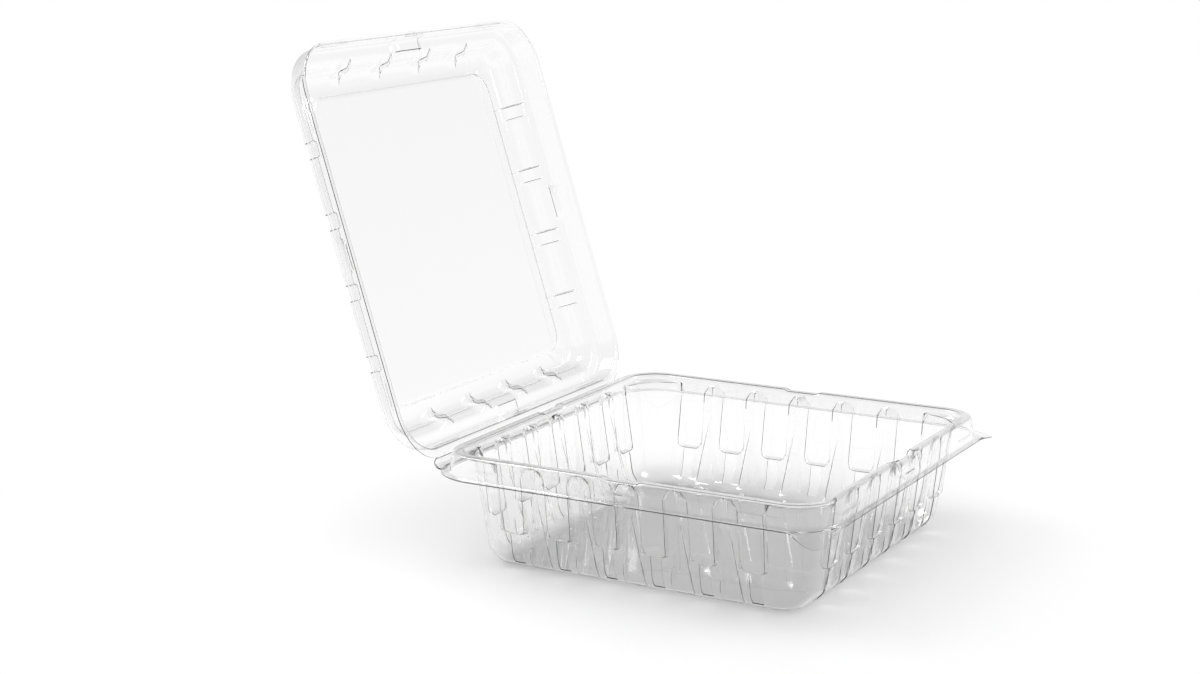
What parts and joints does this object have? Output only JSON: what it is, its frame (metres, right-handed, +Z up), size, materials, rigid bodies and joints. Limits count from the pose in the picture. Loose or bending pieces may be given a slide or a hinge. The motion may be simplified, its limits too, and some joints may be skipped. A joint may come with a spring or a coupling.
{
  "type": "vented clamshell pack",
  "caption": "Clear thermoformed clamshell pack: a square tray with ribbed, vented walls and a shallow hinged lid standing open.",
  "frame": {"origin": "on the floor plane, under the middle of the tray's rim", "axes": "+Z up; +X from the hinge towards the opening side; +Y along the hinge"},
  "size_m": [0.2716, 0.1986, 0.2281],
  "materials": {
    "tray_sheet": "clear gloss",
    "lid_sheet": "clear gloss"
  },
  "bodies": {
    "tray": {"tray": "tray_sheet"},
    "lid": {"lid": "lid_sheet"}
  },
  "joints": [
    {"name": "lid_hinge", "type": "hinge", "parent": "tray", "child": "lid", "pos_m": [-0.1003, 0, 0.04288], "axis": [0, 1, 0], "range_deg": [-72, 108]}
  ]
}
